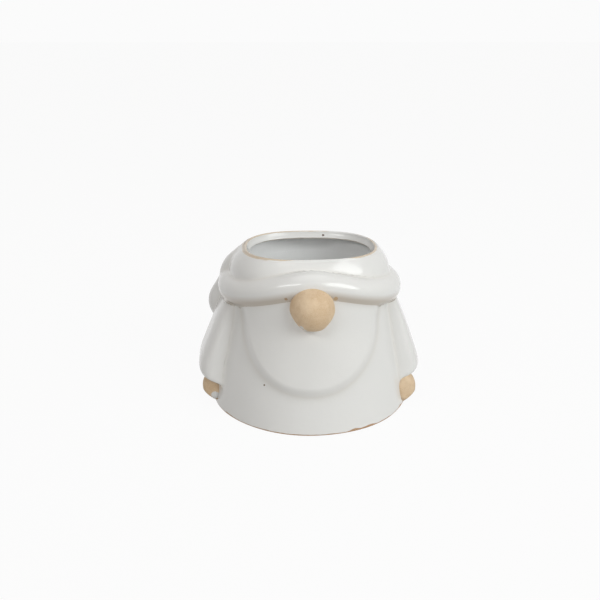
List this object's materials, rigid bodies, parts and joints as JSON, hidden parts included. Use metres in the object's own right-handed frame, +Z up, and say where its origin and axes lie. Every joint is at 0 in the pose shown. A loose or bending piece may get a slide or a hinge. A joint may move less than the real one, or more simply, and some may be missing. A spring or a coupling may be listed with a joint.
{
  "type": "planter",
  "caption": "Gnome-shaped glazed stoneware planter: an open-topped robe and hat with a rolled wavy brim, relief beard, sleeves, and a bare clay nose and hands.",
  "frame": {"origin": "on the table under the middle of the planter, on the pot's upright axis", "axes": "+Z up, the gnome faces -Y, +X is to the right of someone looking at its face"},
  "size_m": [0.1772, 0.1606, 0.1229],
  "materials": {
    "white_glaze": "glossy white glaze on stoneware",
    "bare_clay": "matte unglazed tan stoneware"
  },
  "bodies": {
    "root": {"robe_pot": "white_glaze", "hat_crown": "white_glaze", "hat_brim": "white_glaze", "hat_tail": "white_glaze", "beard": "white_glaze", "left_sleeve": "white_glaze", "right_sleeve": "white_glaze", "nose": "bare_clay", "left_hand": "bare_clay", "right_hand": "bare_clay"}
  },
  "joints": []
}
